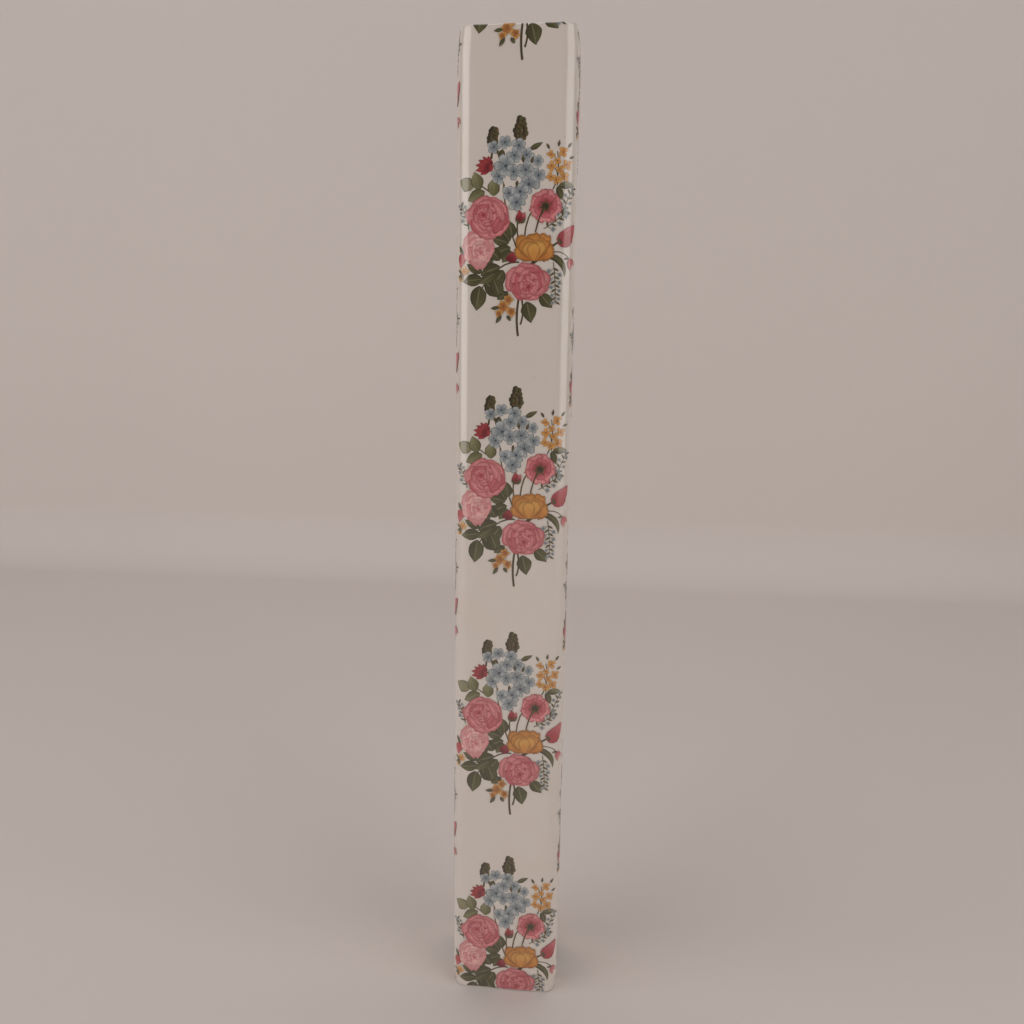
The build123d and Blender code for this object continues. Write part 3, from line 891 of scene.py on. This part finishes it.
def lacquer_finish():
    """Ivory lacquer, scuffed in arcs about the rivet and worn to metal at the rim."""
    lacquer = Finish("ivory_lacquer", Coat_Weight=0.15, Coat_Roughness=0.2)
    place = lacquer.place()
    across, deep, height = lacquer.axes(place)
    radius = (across * across + deep * deep) ** 0.5
    patchy = lacquer.mottle(900, detail=5, roughness=0.6)
    ribs = radius.over(RIBS_START, RIBS_END)
    tab = height.over(TAB_FOOT, TAB_EDGE)
    worn = ((ribs + tab) * 0.45 + patchy).over(0.86, 0.96)
    arcs = lacquer.mottle(3.0, detail=2, vector=radius * ARC_SPACING).over(0.60, 0.70) * patchy
    colour = lacquer.mix(patchy * 0.5, IVORY, IVORY_AGED)
    colour = lacquer.mix(arcs * 0.5, colour, DULLED_TIN)
    return lacquer.surface(
        Base_Color=lacquer.mix(worn, colour, TINPLATE),
        Metallic=worn,
        Roughness=0.34 + arcs * 0.25 - worn * 0.04,
        Normal=lacquer.bump(patchy + worn, 0.012 * MM, 0.4),
    )


coat_node("shutter_disc", lacquer_finish())

# ---------------------------------------------------------------------------------------------
# Rivet and washers. A brass rivet holds the shutter down against a bowed steel washer and a flat
# one, spread over inside the tin.

DULL_BRASS = (0.30, 0.20, 0.09)
BRASS = (0.66, 0.48, 0.22)
STEEL = (0.38, 0.37, 0.36)
coat_node("pivot_rivet", metal_finish("dulled_brass", BRASS, DULL_BRASS, (1, 1, 1), 0.30))
steel = metal_finish("washer_steel", STEEL, DULLED_TIN, (0.1, 1, 1), 0.42)
coat_node("spring_washer", steel)
coat_node("clinch_washer", steel)

# ---------------------------------------------------------------------------------------------
# Studio. A plain pale floor that curves up behind the tin, broad soft lights, and the camera a
# little below the tin's top, looking slightly down at its front.

FLOOR_HALF = 1.6
SWEEP_RADIUS = 0.04
WALL_DISTANCE = 0.38
PAPER = (0.78, 0.72, 0.69)


def studio_floor():
    """A pale sheet: flat under the tin, then one curve up to a plain back."""
    mesh = bmesh.new()
    start = mesh.verts.new((-FLOOR_HALF, -FLOOR_HALF, 0))
    front = mesh.verts.new((FLOOR_HALF, -FLOOR_HALF, 0))
    edge = mesh.edges.new((start, front))
    flat = bmesh.ops.extrude_edge_only(mesh, edges=[edge])["geom"]
    moved = [item for item in flat if isinstance(item, bmesh.types.BMVert)]
    bmesh.ops.translate(mesh, verts=moved, vec=(0, FLOOR_HALF + WALL_DISTANCE, 0))
    rim = [item for item in flat if isinstance(item, bmesh.types.BMEdge)
           and all(vert in moved for vert in item.verts)]
    curve = bmesh.ops.spin(
        mesh, geom=rim, cent=(0, WALL_DISTANCE, SWEEP_RADIUS), axis=(1, 0, 0),
        angle=math.pi / 2, steps=24, use_merge=False,
    )["geom_last"]
    top = bmesh.ops.extrude_edge_only(
        mesh, edges=[item for item in curve if isinstance(item, bmesh.types.BMEdge)]
    )["geom"]
    bmesh.ops.translate(
        mesh, verts=[item for item in top if isinstance(item, bmesh.types.BMVert)],
        vec=(0, 0, FLOOR_HALF),
    )
    for face in mesh.faces:
        face.smooth = True
    bmesh.ops.recalc_face_normals(mesh, faces=mesh.faces)
    floor = bpy.data.objects.new("studio_floor", bpy.data.meshes.new("studio_floor"))
    mesh.to_mesh(floor.data)
    mesh.free()
    paper = Finish("pale_paper", Roughness=0.85)
    floor.data.materials.append(paper.surface(Base_Color=PAPER))
    bpy.context.scene.collection.objects.link(floor)
    return floor


studio_floor()


def soft_light(name, place, aim, size, power, tint):
    """A softbox that faces a point."""
    data = bpy.data.lights.new(name, "AREA")
    data.shape = "RECTANGLE"
    data.size, data.size_y = size
    data.energy = power
    data.color = tint
    light = bpy.data.objects.new(name, data)
    light.location = place
    light.rotation_euler = (Vector(aim) - Vector(place)).to_track_quat("-Z", "Y").to_euler()
    bpy.context.scene.collection.objects.link(light)


MIDDLE = (0, 0, TIN_HEIGHT / 2)
WINDOW = (0.80, 0.9)
soft_light("left_window", (-0.70, -0.44, 0.30), MIDDLE, WINDOW, 3.6, (1.0, 0.95, 0.92))
soft_light("right_window", (0.70, -0.44, 0.30), MIDDLE, WINDOW, 3.0, (1.0, 0.95, 0.91))
soft_light("overhead", (0.0, 0.0, 1.1), MIDDLE, (0.9, 0.9), 2.6, (1.0, 0.97, 0.95))

ROOM_TINT = (1.0, 0.96, 0.93, 1.0)
ROOM_LIGHT = 0.08
world = bpy.data.worlds.new("studio")
world.use_nodes = True
room = world.node_tree.nodes["Background"]
room.inputs["Color"].default_value = ROOM_TINT
room.inputs["Strength"].default_value = ROOM_LIGHT
bpy.context.scene.world = world
bpy.context.scene.view_settings.view_transform = "Standard"

EYE = Vector((0.01399, -0.26222, TIN_HEIGHT - 0.06080))
VIEW = Vector((-0.11841, 0.97373, -0.19451)).normalized()
UP = Vector((-0.02608, 0.19277, 0.98090))
LENS = 36.22
SHIFT = (0.0648, -0.0098)


def set_camera():
    """The camera at its eye point, held to its view direction and its slight lean."""
    right = VIEW.cross(UP).normalized()
    upward = right.cross(VIEW)
    data = bpy.data.cameras.new("camera")
    data.sensor_width = 36.0
    data.lens = LENS
    data.shift_x, data.shift_y = SHIFT
    data.clip_start = 0.01
    camera = bpy.data.objects.new("camera", data)
    camera.matrix_world = Matrix((
        (*right, 0), (*upward, 0), (*-VIEW, 0), (0, 0, 0, 1),
    )).transposed()
    camera.location = EYE
    bpy.context.scene.collection.objects.link(camera)
    bpy.context.scene.camera = camera


set_camera()
